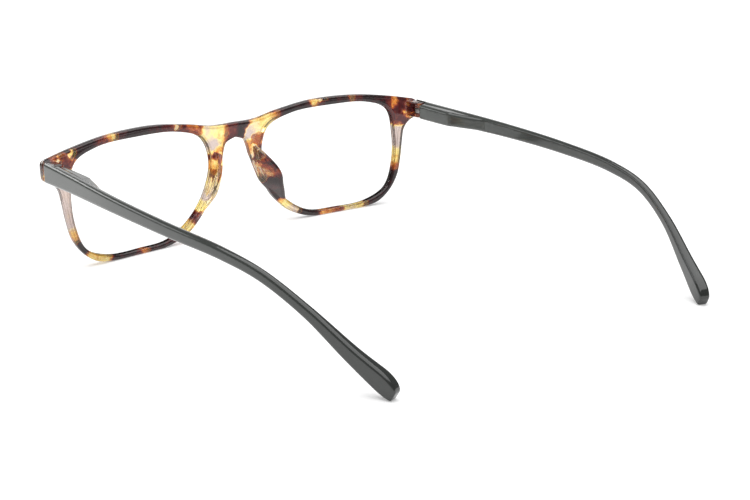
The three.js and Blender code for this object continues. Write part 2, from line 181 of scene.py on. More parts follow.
def front_outline():
    """The front's closed outline in x and z, with a rounded upper outer corner."""
    start = np.array(BROW[-1])
    pull = np.array((FRONT_HALF_WIDTH, CORNER_PULL_Z))
    end = np.array((FRONT_HALF_WIDTH, CORNER_END_Z))
    corner = [
        (1 - t) ** 2 * start + 2 * t * (1 - t) * pull + t**2 * end for t in np.linspace(0, 1, 10)
    ]
    half = np.vstack([through(BROW, 14), corner[1:], through(CHEEK, 10), through(NOSE, 10)])
    other = half[1:-1][::-1] * (-1, 1)
    return np.vstack([half, other])


def opening(grow, steps=14):
    """The left lens opening's outline, moved outwards by grow."""
    line = through(OPENING, steps, closed=True, power=0.5)
    along = np.roll(line, -1, 0) - np.roll(line, 1, 0)
    along /= np.linalg.norm(along, axis=1)[:, None]
    return line + grow * np.c_[-along[:, 1], along[:, 0]]


def front_y(x, z):
    """The row's y of the front's forward face, which is curved and tilted."""
    return WRAP * x**2 - TILT * (z - TILT_HEIGHT) + SHIFT


# ---- Mesh helpers ----
def new_piece(name, points, faces):
    """A mesh object from points in millimetres."""
    mesh = bpy.data.meshes.new(name)
    mesh.from_pydata((np.asarray(points, float) * MM).tolist(), [], [list(f) for f in faces])
    mesh.validate()
    mesh.update()
    piece = bpy.data.objects.new(name, mesh)
    bpy.context.scene.collection.objects.link(piece)
    return piece


def loft(name, rings):
    """A closed skin over rings of equal counts, with a fan at each end."""
    count = len(rings[0])
    points = [p for ring in rings for p in ring]
    faces = [
        (r * count + i, r * count + (i + 1) % count, (r + 1) * count + (i + 1) % count, (r + 1) * count + i)
        for r in range(len(rings) - 1)
        for i in range(count)
    ]
    for ring, offset, turned in ((rings[0], 0, True), (rings[-1], (len(rings) - 1) * count, False)):
        apex = len(points)
        points.append(np.mean(ring, axis=0))
        for i in range(count):
            pair = (offset + i, offset + (i + 1) % count)
            faces.append((apex, pair[1], pair[0]) if turned else (apex, pair[0], pair[1]))
    piece = new_piece(name, points, faces)
    outward(piece)
    return piece


def outward(piece):
    """Merges doubled points and turns every face outwards."""
    bm = bmesh.new()
    bm.from_mesh(piece.data)
    bmesh.ops.remove_doubles(bm, verts=bm.verts, dist=1e-7)
    bmesh.ops.recalc_face_normals(bm, faces=bm.faces)
    bm.to_mesh(piece.data)
    bm.free()


def extruded(name, outline, depth0, depth1, steps=1):
    """A prism on an outline of x and z, running in y."""
    depths = np.linspace(depth0, depth1, steps + 1)
    return loft(name, [[(x, y, z) for x, z in outline] for y in depths])


def upright(name, x, y, z0, z1, radius, sides=48):
    """An upright cylinder, or a prism with few sides."""
    ring = [
        (x + radius * math.cos(2 * math.pi * k / sides), y + radius * math.sin(2 * math.pi * k / sides))
        for k in range(sides)
    ]
    return loft(name, [[(px, py, z) for px, py in ring] for z in (z0, z1)])


def block(name, x0, x1, y0, y1, z0, z1):
    return extruded(name, [(x0, z0), (x1, z0), (x1, z1), (x0, z1)], y0, y1)


def apply_modifiers(piece):
    """Gives the piece the mesh its modifiers make."""
    graph = bpy.context.evaluated_depsgraph_get()
    made = bpy.data.meshes.new_from_object(piece.evaluated_get(graph))
    piece.modifiers.clear()
    piece.data = made


def joined(pieces):
    """One object from several, whose shells may overlap."""
    points = []
    faces = []
    offset = 0
    for mesh in [p.data for p in pieces]:
        points.extend(tuple(v.co / MM) for v in mesh.vertices)
        faces.extend([i + offset for i in f.vertices] for f in mesh.polygons)
        offset += len(mesh.vertices)
    name = pieces[0].name
    for p in pieces:
        bpy.data.objects.remove(p)
    return new_piece(name, points, faces)


def fused(piece, smoothing):
    """Remeshes overlapping shells into one even skin and softens its edges as polishing does."""
    mod = piece.modifiers.new("remesh", "REMESH")
    mod.mode = "VOXEL"
    mod.voxel_size = VOXEL * MM
    mod.adaptivity = 0
    soft = piece.modifiers.new("soften", "SMOOTH")
    soft.factor = 0.5
    soft.iterations = smoothing
    apply_modifiers(piece)
    return piece


def cut(piece, cutters):
    """Takes each cutter out of the piece and removes it."""
    for cutter in cutters:
        mod = piece.modifiers.new("cut", "BOOLEAN")
        mod.operation = "DIFFERENCE"
        mod.solver = "MANIFOLD"
        mod.object = cutter
        apply_modifiers(piece)
        bpy.data.objects.remove(cutter)
    return piece


def mirror_copy(piece, name):
    """The same shape on the wearer's right."""
    copy = piece.copy()
    copy.data = piece.data.copy()
    copy.name = name
    bpy.context.scene.collection.objects.link(copy)
    copy.data.transform(Matrix.Scale(-1, 4, (1, 0, 0)))
    copy.data.flip_normals()
    return copy


def shade(piece, angle=40):
    """Smooth shading, with edges sharper than the angle in degrees kept crisp."""
    for face in piece.data.polygons:
        face.use_smooth = True
    piece.data.set_sharp_from_angle(angle=math.radians(angle))


def coordinates(piece):
    """The piece's points in millimetres."""
    co = np.zeros(len(piece.data.vertices) * 3)
    piece.data.vertices.foreach_get("co", co)
    return co.reshape(-1, 3) / MM


def set_coordinates(piece, co):
    piece.data.vertices.foreach_set("co", (co * MM).astype(np.float32).ravel())
    piece.data.update()


def bend(piece):
    """Takes a shape drawn flat, with y as its depth, onto the curved and tilted front."""
    co = coordinates(piece)
    co[:, 1] += front_y(co[:, 0], co[:, 2])
    set_coordinates(piece, co)
    return piece


# ---- Front ----
def rounded_plate(name, outline, holes, thickness, edge):
    """A flat plate with rounded edges, its front at depth 0."""
    curve = bpy.data.curves.new(name, "CURVE")
    curve.dimensions = "2D"
    curve.fill_mode = "BOTH"
    curve.extrude = (thickness / 2 - edge) * MM
    curve.bevel_depth = edge * MM
    curve.bevel_resolution = 5
    curve.offset = -edge * MM
    for points in (outline, *holes):
        spline = curve.splines.new("POLY")
        spline.points.add(len(points) - 1)
        for point, (x, z) in zip(spline.points, points):
            point.co = (x * MM, z * MM, 0, 1)
        spline.use_cyclic_u = True
    source = bpy.data.objects.new(name, curve)
    bpy.context.scene.collection.objects.link(source)
    graph = bpy.context.evaluated_depsgraph_get()
    mesh = bpy.data.meshes.new_from_object(source.evaluated_get(graph))
    bpy.data.objects.remove(source)
    mesh.transform(Matrix.Rotation(math.pi / 2, 4, "X"))
    mesh.transform(Matrix.Translation((0, thickness / 2 * MM, 0)))
    mesh.name = name
    piece = bpy.data.objects.new(name, mesh)
    bpy.context.scene.collection.objects.link(piece)
    outward(piece)
    return piece


def nose_pad(name):
    """The left pad: a rounded blade standing out behind the plate and leaning away from the nose."""
    stations = 44
    sides = 32
    edge = through(NASAL_EDGE, 12)
    rings = []
    for i in range(stations + 1):
        share = i / stations
        x = np.interp(share * (len(edge) - 1), range(len(edge)), edge[:, 1])
        reach = PAD_REACH * math.sin(math.pi * share**PAD_SKEW) ** PAD_FULLNESS
        radius = PAD_RADIUS - PAD_NARROWING * abs(2 * share - 1)
        ring = []
        for k in range(sides):
            angle = 2 * math.pi * k / sides
            back = PAD_ROOT + (reach if math.sin(angle) > 0.01 else 0)
            ring.append((
                x + radius + PAD_LEAN * (back - PAD_ROOT) + radius * math.cos(angle),
                back + radius * math.sin(angle),
                PAD_LOW + (PAD_HIGH - PAD_LOW) * share,
            ))
        rings.append(ring)
    return loft(name, rings)


def build_front():
    """Plate, pads and lugs as one skin, cut by the lens grooves and the hinge's slots, holes and seats."""
    left_hole = opening(0)
    right_hole = left_hole * (-1, 1)
    holes = [left_hole[::-1], right_hole]
    plate = rounded_plate("front", front_outline(), holes, FRONT_THICKNESS, FRONT_EDGE)
    pad = nose_pad("pad")
    whole = bend(fused(joined([plate, pad, mirror_copy(pad, "pad_right")]), smoothing=2))
    lug_front = HINGE_Y - HINGE_BACKSET - 1  # inside the plate
    lug = joined([
        block("lug", HINGE_X - LUG_RADIUS, HINGE_X + LUG_RADIUS, lug_front, HINGE_Y, LUG_LOW, LUG_HIGH),
        upright("knuckle", HINGE_X, HINGE_Y, LUG_LOW, LUG_HIGH, LUG_RADIUS),
    ])
    whole = fused(joined([whole, lug, mirror_copy(lug, "lug_right")]), smoothing=5)
    slot_half = EYE_HEIGHT / 2 + RUNNING_GAP
    slot_reach = 3  # past the lug on both sides and behind
    groove_front = (FRONT_THICKNESS - LENS_EDGE) / 2 - GROOVE_CLEARANCE
    groove_back = (FRONT_THICKNESS + LENS_EDGE) / 2 + GROOVE_CLEARANCE
    above = LUG_HIGH + OVERCUT
    below = LUG_LOW - OVERCUT
    head_floor = LUG_HIGH - SCREW_HEAD_HEIGHT - SEAT_GAP
    nut_roof = LUG_LOW + NUT_HEIGHT + SEAT_GAP
    cutters = [
        bend(extruded("groove", opening(LENS_BITE + GROOVE_CLEARANCE), groove_front, groove_back)),
        block("eye_slot", HINGE_X - slot_reach, HINGE_X + slot_reach, HINGE_Y - LUG_RADIUS - KNUCKLE_GAP,
              HINGE_Y + slot_reach, HINGE_Z - slot_half, HINGE_Z + slot_half),
        upright("pin_hole", HINGE_X, HINGE_Y, below, above, SCREW_RADIUS + RUNNING_GAP),
        upright("head_seat", HINGE_X, HINGE_Y, head_floor, above, SCREW_HEAD_RADIUS + SEAT_GAP),
        upright("nut_seat", HINGE_X, HINGE_Y, below, nut_roof, NUT_RADIUS + SEAT_GAP, 6),
    ]
    cut(whole, cutters + [mirror_copy(c, c.name + "_right") for c in cutters])
    whole.name = "front"
    shade(whole)
    return whole


# ---- Lenses ----
def build_lens():
    """The left lens: an even shell, crowned forwards towards its middle."""
    centre = np.array(LENS_CENTRE)
    edge = opening(LENS_BITE, 12)
    front_depth = (FRONT_THICKNESS - LENS_EDGE) / 2

    def ring(share, depth):
        at = centre + (edge - centre) * share
        return [(x, depth - LENS_CROWN * (1 - share**2) + front_y(x, z), z) for x, z in at]

    rings = [ring(share, front_depth) for share in LENS_RINGS]
    rings += [ring(share, front_depth + LENS_EDGE) for share in reversed(LENS_RINGS)]
    piece = loft("lens_left_glass", rings)
    shade(piece, 30)
    return piece


# ---- Temples ----
def section(thickness, height, radius, steps=6):
    """A rounded rectangle with its outer face at 0, as distances out and up."""
    corners = [
        (-radius, height / 2 - radius), (radius - thickness, height / 2 - radius),
        (radius - thickness, radius - height / 2), (-radius, radius - height / 2),
    ]
    return [
        (out + radius * math.cos(a), up + radius * math.sin(a))
        for quarter, (out, up) in enumerate(corners)
        for a in (math.pi / 2 * (quarter + i / steps) for i in range(steps + 1))
    ]


def temple_bar(front_face):
    """The left temple's bar along its line, with a rounded tip and its front end cut to the mitre."""
    steps = 22
    bar_rings = 170
    tip_rings = 22
    first_angle = 0.06
    line = through([p[:3] for p in TEMPLE_LINE], steps, power=0.5)
    sizes = through([p[3:] for p in TEMPLE_LINE], steps)
    along = np.gradient(line, axis=0)
    along /= np.linalg.norm(along, axis=1)[:, None]
    walked = np.r_[0, np.cumsum(np.linalg.norm(np.diff(line, axis=0), axis=1))]
    last = walked[-1]
    angles = np.linspace(first_angle, math.pi / 2, tip_rings)
    stops = list(np.linspace(0, last - TIP_LENGTH, bar_rings))
    stops += [last - TIP_LENGTH * (1 - math.sin(a)) for a in angles]
    rings = []
    for s in stops:
        point, way, size = (
            np.array([np.interp(s, walked, column) for column in table.T]) for table in (line, along, sizes)
        )
        out = np.cross(way, (0, 0, 1))
        out /= np.linalg.norm(out)
        up = np.cross(out, way)
        left = min((last - s) / TIP_LENGTH, 1.0)
        share = TIP_FLAT + (1 - TIP_FLAT) * math.sqrt(max(0.0, 1 - (1 - left) ** 2))
        thinning = (1 + share) / 2
        shape = section(size[1] * thinning, size[0] * share, TEMPLE_EDGE * share)
        inset = size[1] * (1 - thinning) / 2
        drop = TIP_DROP * size[0] * (1 - share) / 2
        rings.append([point + out * (a - inset) + up * (b - drop) + (0, SHIFT, 0) for a, b in shape])
    bar = loft("temple_left_arm", rings)
    # The mitre's cutter stands around the bar's front end; only its slanted rear face meets the bar.
    inner, outer, ahead = 60, 80, SHIFT - 20
    plan = [(inner, ahead), (outer, ahead), (outer, front_face(outer)), (inner, front_face(inner))]
    mitre = new_piece(
        "mitre",
        [(x, y, z) for z in (10, 60) for x, y in plan],
        [(0, 1, 2, 3), (7, 6, 5, 4), (0, 4, 5, 1), (1, 5, 6, 2), (2, 6, 7, 3), (3, 7, 4, 0)],
    )
    outward(mitre)
    return cut(bar, [mitre])


def temple_bulge(start):
    """The thicker inner side, a little less tall at its inner face than where it joins the bar."""
    rings = []
    for back, inner_x, inner_height, outer_height in through(BULGE_SHAPE, 8):
        outer_x = BULGE_OUTER_X + BULGE_SPREAD * back
        thickness = outer_x - inner_x
        middle_z = HINGE_Z - BULGE_DROP - BULGE_FALL * back
        narrowing = 1 - inner_height / outer_height
        shape = section(thickness, outer_height, min(BULGE_EDGE, 0.45 * thickness))
        rings.append([
            (outer_x + a, start + back, middle_z + b * (1 + narrowing * a / thickness)) for a, b in shape
        ])
    return loft("bulge", rings)


def build_temple():
    """The left temple: bar and thicker side as one skin, with the pocket for the spring housing."""
    bulge_y = HINGE_Y + LUG_RADIUS + KNUCKLE_GAP
    mitre_z = HINGE_Z - 3
    rear_at_skin = front_y(SKIN_INNER_X, mitre_z) + FRONT_THICKNESS + TEMPLE_GAP

    def front_face(x):
        """The y of the mitred front end: it follows the front's slope there, with room to flex outwards."""
        return rear_at_skin + (x - SKIN_INNER_X) * (2 * WRAP * FRONT_HALF_WIDTH + FLEX_SLOPE)

    # Room for the lugs: the bar keeps only its outer skin beside them.
    ahead = -80
    inside = block("inside", HINGE_X - LUG_RADIUS, SKIN_INNER_X, ahead, bulge_y, 20, 40)
    bar = cut(temple_bar(front_face), [inside])
    whole = fused(joined([bar, temple_bulge(bulge_y)]), smoothing=4)
    wide = SEAT_GAP + HOUSING_WIDTH / 2
    tall = SEAT_GAP + HOUSING_HEIGHT / 2
    pocket_end = bulge_y + HOUSING_LENGTH + 2 * SEAT_GAP
    cut(whole, [block("pocket", HINGE_X - wide, HINGE_X + wide, bulge_y - OVERCUT, pocket_end,
                      HINGE_Z - tall, HINGE_Z + tall)])
    whole.name = "temple_left_arm"
    shade(whole)
    return whole


# ---- Metal ----
def refined(node, name, bevel):
    """A CAD piece with its sharp edges broken."""
    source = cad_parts[node]
    piece = bpy.data.objects.new(name, source.data.copy())
    bpy.context.scene.collection.objects.link(piece)
    outward(piece)
    limited = piece.modifiers.new("flat", "DECIMATE")
    limited.decimate_type = "DISSOLVE"
    limited.angle_limit = math.radians(1)
    mod = piece.modifiers.new("edges", "BEVEL")
    mod.width = bevel * MM
    mod.segments = 2
    mod.limit_method = "ANGLE"
    mod.angle_limit = math.radians(40)
    apply_modifiers(piece)
    piece.data.materials.clear()
    shade(piece, 35)
    return piece


def build_spring(name, node):
    """A fine coil in the same place as the CAD one, with its wire's ends capped."""
    low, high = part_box(node)
    centre_x = (low.x + high.x) / 2 / MM
    radius = (high.x - low.x) / 2 / MM - WIRE_RADIUS
    y0 = low.y / MM + WIRE_RADIUS
    y1 = high.y / MM - WIRE_RADIUS
    sides = 12
    steps = SPRING_TURNS * 28
    hand = 1 if centre_x > 0 else -1
    rings = []
    for i in range(steps + 1):
        t = i / steps
        angle = 2 * math.pi * SPRING_TURNS * t
        side = np.array((math.cos(angle) * hand, 0, math.sin(angle)))
        at = np.array((centre_x, y0 + (y1 - y0) * t, HINGE_Z)) + radius * side
        rings.append([
            at + WIRE_RADIUS * (math.cos(a) * side + math.sin(a) * np.array((0, 1, 0)))
            for a in (2 * math.pi * k / sides for k in range(sides))
        ])
    piece = loft(name, rings)
    shade(piece, 60)
    return piece


# ---- Materials ----
def material(name):
    """A new node material: itself, its nodes, its links and its Principled node."""
    made = bpy.data.materials.new(name)
    made.use_nodes = True
    nodes = made.node_tree.nodes
    return made, nodes, made.node_tree.links, nodes["Principled BSDF"]


def ramp(nodes, stops):
    """A colour ramp from (place, colour) stops."""
    node = nodes.new("ShaderNodeValToRGB")
    elements = node.color_ramp.elements
    while len(elements) < len(stops):
        elements.new(0.5)
    for element, (place, colour) in zip(elements, stops):
        element.position = place
        element.color = (*colour, 1)
    return node


def grey(level):
    return (level, level, level)


def noise_node(nodes, links, scale, detail=3, roughness=0.5, distortion=0.0):
    """Noise fixed to the object; scale is roughly in waves per metre."""
    place = nodes.new("ShaderNodeTexCoord")
    node = nodes.new("ShaderNodeTexNoise")
    node.inputs["Scale"].default_value = scale
    node.inputs["Detail"].default_value = detail
    node.inputs["Roughness"].default_value = roughness
    node.inputs["Distortion"].default_value = distortion
    links.new(place.outputs["Object"], node.inputs["Vector"])
    return node


def maths(nodes, links, operation, a, b, clamp=False):
    """The result of one maths node on sockets or numbers."""
    node = nodes.new("ShaderNodeMath")
    node.operation = operation
    node.use_clamp = clamp
    for socket, value in zip(node.inputs, (a, b)):
        if isinstance(value, bpy.types.NodeSocket):
            links.new(value, socket)
        else:
            socket.default_value = value
    return node.outputs[0]


def swing(nodes, links, texture, amount):
    """The texture's value as a swing about zero."""
    centred = maths(nodes, links, "SUBTRACT", texture.outputs["Fac"], 0.5)
    return maths(nodes, links, "MULTIPLY", centred, amount)


def feed_roughness(nodes, links, bsdf, texture, smoothest, roughest):
    rough = ramp(nodes, [(0.35, grey(smoothest)), (0.75, grey(roughest))])
    links.new(texture.outputs["Fac"], rough.inputs["Fac"])
    links.new(rough.outputs["Color"], bsdf.inputs["Roughness"])


def feed_bump(nodes, links, bsdf, texture, strength, distance):
    """Bump on the shader's normal; distance is in metres."""
    bump = nodes.new("ShaderNodeBump")
    bump.inputs["Strength"].default_value = strength
    bump.inputs["Distance"].default_value = distance
    links.new(texture.outputs["Fac"], bump.inputs["Height"])
    links.new(bump.outputs["Normal"], bsdf.inputs["Normal"])


def tortoise_material():
    """Cast tortoiseshell: the depth attribute runs from clear, through amber and red, to nearly black, and
    painted shade darkens the colour on the edges.
    """
    made, nodes, links, bsdf = material("tortoiseshell")
    depth = nodes.new("ShaderNodeAttribute")
    depth.attribute_name = "depth"
    fine = noise_node(nodes, links, 520, detail=5, roughness=0.6, distortion=0.8)
    wide = noise_node(nodes, links, 170, distortion=1.4)
    edge = swing(nodes, links, fine, 0.42)
    drift = swing(nodes, links, wide, 0.36)
    rough_edged = maths(nodes, links, "ADD", depth.outputs["Fac"], edge)
    value = maths(nodes, links, "ADD", rough_edged, drift, clamp=True)
    colour = ramp(nodes, [
        (0.0, (0.56, 0.47, 0.45)), (0.17, (0.62, 0.49, 0.42)), (0.27, (0.90, 0.70, 0.42)),
        (0.36, (1.0, 0.86, 0.30)), (0.46, (0.98, 0.48, 0.10)), (0.53, (0.74, 0.20, 0.04)),
        (0.59, (0.42, 0.08, 0.04)), (0.68, (0.14, 0.024, 0.026)), (0.86, (0.030, 0.016, 0.017)),
    ])
    # Painted shade: this mix multiplies the colour by a darker tone on the plate's edges and in lines along
    # the groove and outline.
    painted_edge_shade = nodes.new("ShaderNodeAttribute")
    painted_edge_shade.attribute_name = "painted_edge_shade"
    shaded = nodes.new("ShaderNodeMix")
    shaded.data_type = "RGBA"
    shaded.blend_type = "MULTIPLY"
    links.new(painted_edge_shade.outputs["Fac"], shaded.inputs["Factor"])
    links.new(colour.outputs["Color"], shaded.inputs[6])
    shaded.inputs[7].default_value = (0.46, 0.42, 0.41, 1)
    clear = ramp(nodes, [(0.0, grey(1)), (0.40, grey(0.9)), (0.60, grey(0.5)), (0.80, grey(0.1))])
    links.new(value, colour.inputs["Fac"])
    links.new(value, clear.inputs["Fac"])
    links.new(shaded.outputs[2], bsdf.inputs["Base Color"])
    links.new(clear.outputs["Color"], bsdf.inputs["Transmission Weight"])
    bsdf.inputs["IOR"].default_value = 1.45
    marks = noise_node(nodes, links, 2600, detail=2)
    feed_roughness(nodes, links, bsdf, marks, smoothest=0.05, roughest=0.10)
    waves = noise_node(nodes, links, 160, detail=2, roughness=0.4)
    feed_bump(nodes, links, bsdf, waves, strength=0.10, distance=0.0003)
    bsdf.inputs["Coat Weight"].default_value = 0.2
    bsdf.inputs["Coat Roughness"].default_value = 0.03
    return made


def smoke_material():
    """Polished smoke plastic: the skin attribute, which holds painted light, runs from nearly black to grey,
    with a faint cloudiness.
    """
    made, nodes, links, bsdf = material("smoke_plastic")
    # The skin attribute is painted light on the temple's faces; the cloud noise is the plastic's own uneven
    # tone.
    skin = nodes.new("ShaderNodeAttribute")
    skin.attribute_name = "skin"
    cloud = noise_node(nodes, links, 240, distortion=0.4)
    drift = swing(nodes, links, cloud, 0.10)
    value = maths(nodes, links, "ADD", skin.outputs["Fac"], drift, clamp=True)
    colour = ramp(nodes, [
        (0.0, (0.010, 0.012, 0.011)), (0.25, (0.028, 0.031, 0.029)), (0.6, (0.075, 0.082, 0.075)),
        (1.0, (0.20, 0.21, 0.19)),
    ])
    links.new(value, colour.inputs["Fac"])
    links.new(colour.outputs["Color"], bsdf.inputs["Base Color"])
    bsdf.inputs["IOR"].default_value = 1.5
    marks = noise_node(nodes, links, 3000, detail=2)
    feed_roughness(nodes, links, bsdf, marks, smoothest=0.10, roughest=0.17)
    waves = noise_node(nodes, links, 120, detail=2, roughness=0.4)
    feed_bump(nodes, links, bsdf, waves, strength=0.06, distance=0.0003)
    bsdf.inputs["Coat Weight"].default_value = 0.25
    bsdf.inputs["Coat Roughness"].default_value = 0.04
    return made


def lens_material():
    """A thin clear lens: light goes straight through, and its surfaces reflect more at a glancing angle."""
    made, nodes, links, bsdf = material("clear_lens")
    output = nodes["Material Output"]
    nodes.remove(bsdf)
    through_it = nodes.new("ShaderNodeBsdfTransparent")
    haze = noise_node(nodes, links, 60, detail=2)
    tint = ramp(nodes, [(0.3, (0.972, 0.978, 0.976)), (0.7, (0.985, 0.990, 0.988))])
    links.new(haze.outputs["Fac"], tint.inputs["Fac"])
    links.new(tint.outputs["Color"], through_it.inputs["Color"])
    gloss = nodes.new("ShaderNodeBsdfGlossy")
    gloss.inputs["Roughness"].default_value = 0.01
    facing = nodes.new("ShaderNodeLayerWeight")
    facing.inputs["Blend"].default_value = 0.5
    straight_on = 0.025
    glancing_gain = 0.6
    glancing = maths(nodes, links, "POWER", facing.outputs["Facing"], 5)
    rise = maths(nodes, links, "MULTIPLY", glancing, glancing_gain)
    strength = maths(nodes, links, "ADD", rise, straight_on)
    mix = nodes.new("ShaderNodeMixShader")
    links.new(strength, mix.inputs["Fac"])
    links.new(through_it.outputs["BSDF"], mix.inputs[1])
    links.new(gloss.outputs["BSDF"], mix.inputs[2])
    links.new(mix.outputs["Shader"], output.inputs["Surface"])
    return made


def steel_material(name, tone, stretch):
    """Steel whose grain is finer along the axes that stretch makes larger."""
    made, nodes, links, bsdf = material(name)
    place = nodes.new("ShaderNodeTexCoord")
    scale = nodes.new("ShaderNodeMapping")
    scale.inputs["Scale"].default_value = stretch
    links.new(place.outputs["Object"], scale.inputs["Vector"])
    grain = nodes.new("ShaderNodeTexNoise")
    grain.inputs["Scale"].default_value = 900
    grain.inputs["Detail"].default_value = 4
    links.new(scale.outputs["Vector"], grain.inputs["Vector"])
    colour = ramp(nodes, [(0.3, tuple(0.82 * c for c in tone)), (0.7, tone)])
    rough = ramp(nodes, [(0.3, grey(0.22)), (0.7, grey(0.40))])
    for node in (colour, rough):
        links.new(grain.outputs["Fac"], node.inputs["Fac"])
    links.new(colour.outputs["Color"], bsdf.inputs["Base Color"])
    links.new(rough.outputs["Color"], bsdf.inputs["Roughness"])
    bsdf.inputs["Metallic"].default_value = 1.0
    feed_bump(nodes, links, bsdf, grain, strength=0.25, distance=0.00003)
    return made


def floor_material():
    """A nearly white floor that also glows a little, as a light table does."""
    made, nodes, links, bsdf = material("pale_floor")
    speckle = noise_node(nodes, links, 8, detail=2)
    tone = ramp(nodes, [(0.3, grey(0.88)), (0.7, grey(0.90))])
    links.new(speckle.outputs["Fac"], tone.inputs["Fac"])
    links.new(tone.outputs["Color"], bsdf.inputs["Base Color"])
    links.new(tone.outputs["Color"], bsdf.inputs["Emission Color"])
    bsdf.inputs["Emission Strength"].default_value = 0.3
    bsdf.inputs["Roughness"].default_value = 0.9
    bsdf.inputs["Specular IOR Level"].default_value = 0.1
    return made


# ---- Tortoiseshell pattern, painted edge shade and painted temple light ----
# Each colour is a depth, from clear 0 to black 1. A blotch is x, z, its reach in x and in z, and its colour.
CLEAR, PALE, TAN, YELLOW, ORANGE, RED, MAROON, DARK = 0.10, 0.20, 0.29, 0.37, 0.48, 0.57, 0.68, 0.86
BLOTCHES = [
    # left end piece
    (69, 31.5, 0.9, 2.4, CLEAR), (68.5, 29, 1.2, 0.9, ORANGE), (68, 34, 1.6, 0.6, DARK),
    (65.5, 34, 1.1, 0.6, RED), (63, 34.5, 0.8, 0.6, ORANGE), (63.5, 32.5, 1.6, 0.3, PALE),
    (66.5, 31.5, 1.4, 1.6, MAROON), (61.5, 36, 4, 0.6, DARK), (60.5, 32.5, 1.8, 1.6, MAROON),
    (59.5, 34, 0.8, 0.6, PALE), (58.5, 35, 1.1, 0.7, YELLOW), (57, 32, 0.8, 0.7, RED),
    # left brow
    (55, 36.5, 4, 0.9, DARK), (52, 34.5, 3, 1.2, DARK), (48.5, 36.5, 2, 1.4, MAROON),
    (45, 37, 1, 1.8, ORANGE), (43, 37, 1.3, 1.8, YELLOW), (34, 37.5, 6.5, 2.2, DARK),
    (24.5, 36.5, 1.8, 1.8, MAROON), (21, 36.5, 1.4, 0.9, PALE), (19, 35.5, 1.6, 1.1, MAROON),
    (14, 35, 2.2, 1.6, RED),
    # bridge
    (9.5, 34.5, 1.4, 1, TAN), (9, 32, 1.2, 1.4, TAN), (7.5, 29, 1.6, 1.5, CLEAR),
    (5, 32.5, 2, 2.6, YELLOW), (1, 32.5, 1.8, 2.6, MAROON), (-3, 32.5, 1.6, 1.8, DARK),
    (-5, 30.5, 1.6, 1.8, CLEAR), (-7.5, 32, 1.4, 1.8, TAN), (-8.5, 34.5, 2.4, 0.8, ORANGE),
    (-12.5, 34, 2.8, 1.6, YELLOW),
    # right brow
    (-16, 34.5, 1.3, 1.8, ORANGE), (-22, 36, 5.6, 2.2, DARK), (-30, 37, 1.5, 1.8, YELLOW),
    (-33.5, 37.5, 1.6, 0.7, PALE), (-33, 36, 1.2, 0.8, MAROON), (-38.5, 37, 4.2, 2, DARK),
    (-44, 37, 1.1, 1.4, YELLOW), (-47, 36, 2, 1.4, MAROON), (-53, 35, 4.6, 2.4, DARK),
    # right end piece
    (-57.5, 34, 1.2, 2, MAROON), (-60.5, 34, 1.3, 1.8, ORANGE), (-63, 32.5, 1.3, 2.2, MAROON),
    (-65.5, 33, 0.8, 1, ORANGE), (-63.5, 30, 0.6, 0.5, YELLOW), (-67, 32.5, 1.6, 2, MAROON),
    (-66, 29, 1.6, 0.6, ORANGE), (-61.5, 28.5, 2.2, 2.4, MAROON),
    # right cheek and lower rim
    (-61, 22.5, 2, 3.4, CLEAR), (-60, 17.5, 1.8, 1.2, YELLOW), (-59.5, 15, 1.8, 1.6, YELLOW),
    (-59, 12, 2, 1, ORANGE), (-56.5, 8, 3, 3, DARK), (-52, 3.5, 3.4, 2.4, DARK),
    (-45.5, 2, 2.2, 1.4, YELLOW), (-41.5, 1, 1.6, 1.2, TAN), (-37, 1, 1.8, 1.2, RED),
    (-32, 1, 2.2, 1.4, ORANGE), (-26, 1.5, 3, 2.2, DARK), (-20.5, 4, 2, 1.4, PALE),
    (-17.5, 5.5, 1.6, 1.8, YELLOW), (-16, 7, 1, 1.2, ORANGE),
    # right nose pad
    (-13, 12.5, 3, 4.4, DARK), (-12, 18, 1.4, 0.9, RED), (-8.5, 17, 0.8, 1.6, TAN),
    (-11.5, 17, 1.2, 1, MAROON), (-6, 19, 1, 2.2, CLEAR), (-9.5, 20, 1, 0.8, RED),
    (-11.5, 21, 1.8, 1.4, DARK), (-9, 23.5, 1.4, 1.4, MAROON), (-7, 24, 1, 1.2, PALE),
    (-4.5, 25, 1.1, 2.4, ORANGE), (-8.5, 28, 1.6, 1.2, RED),
    # left cheek and lower rim
    (62, 23, 3, 4.4, CLEAR), (61, 15, 3, 3.6, CLEAR), (59.5, 10, 1.8, 1.6, ORANGE),
    (57, 6, 1.8, 1.8, DARK), (54, 3.5, 1.8, 1.4, YELLOW), (50, 2, 2.4, 1.4, YELLOW),
    (42.5, 1, 3.6, 1.6, DARK), (38, 1, 1.2, 1.2, MAROON), (36, 1, 1.6, 1.2, ORANGE),
    (29.5, 1.5, 3.6, 1.8, DARK), (23.5, 2.5, 2, 1.6, RED), (20, 5, 2.2, 1.8, YELLOW),
    (16.5, 7, 1.4, 1.4, MAROON),
    # left nose pad
    (13.5, 10.5, 1.6, 2, YELLOW), (12, 14.5, 1.2, 2.6, CLEAR), (8.5, 14.5, 1.2, 2, YELLOW),
    (10, 17.5, 1.1, 2, TAN), (6.5, 19, 1.2, 1.2, MAROON), (5, 21, 0.8, 1.2, ORANGE),
    (9.5, 22, 1, 1.4, ORANGE), (6.5, 23.5, 1.1, 1.4, YELLOW), (8, 25, 1.2, 0.9, MAROON),
    (6.5, 27, 1.2, 1, ORANGE),
]
WANDER_SEED = 2  # Blender's own noise starts from the clock unless it is given a seed
BLOTCH_FALL = 2.2
FAR_WEIGHT = 1e-4  # keeps the depth defined away from every blotch
FAR_DEPTH = 0.3
WANDER = ((0.22, 1.2), (0.7, 0.7))  # waves per millimetre and reach of each octave
GROOVE_SHADE_LINE = 0.8  # how far outside the lens opening the painted shade line lies, where the groove's bottom shows through the plastic
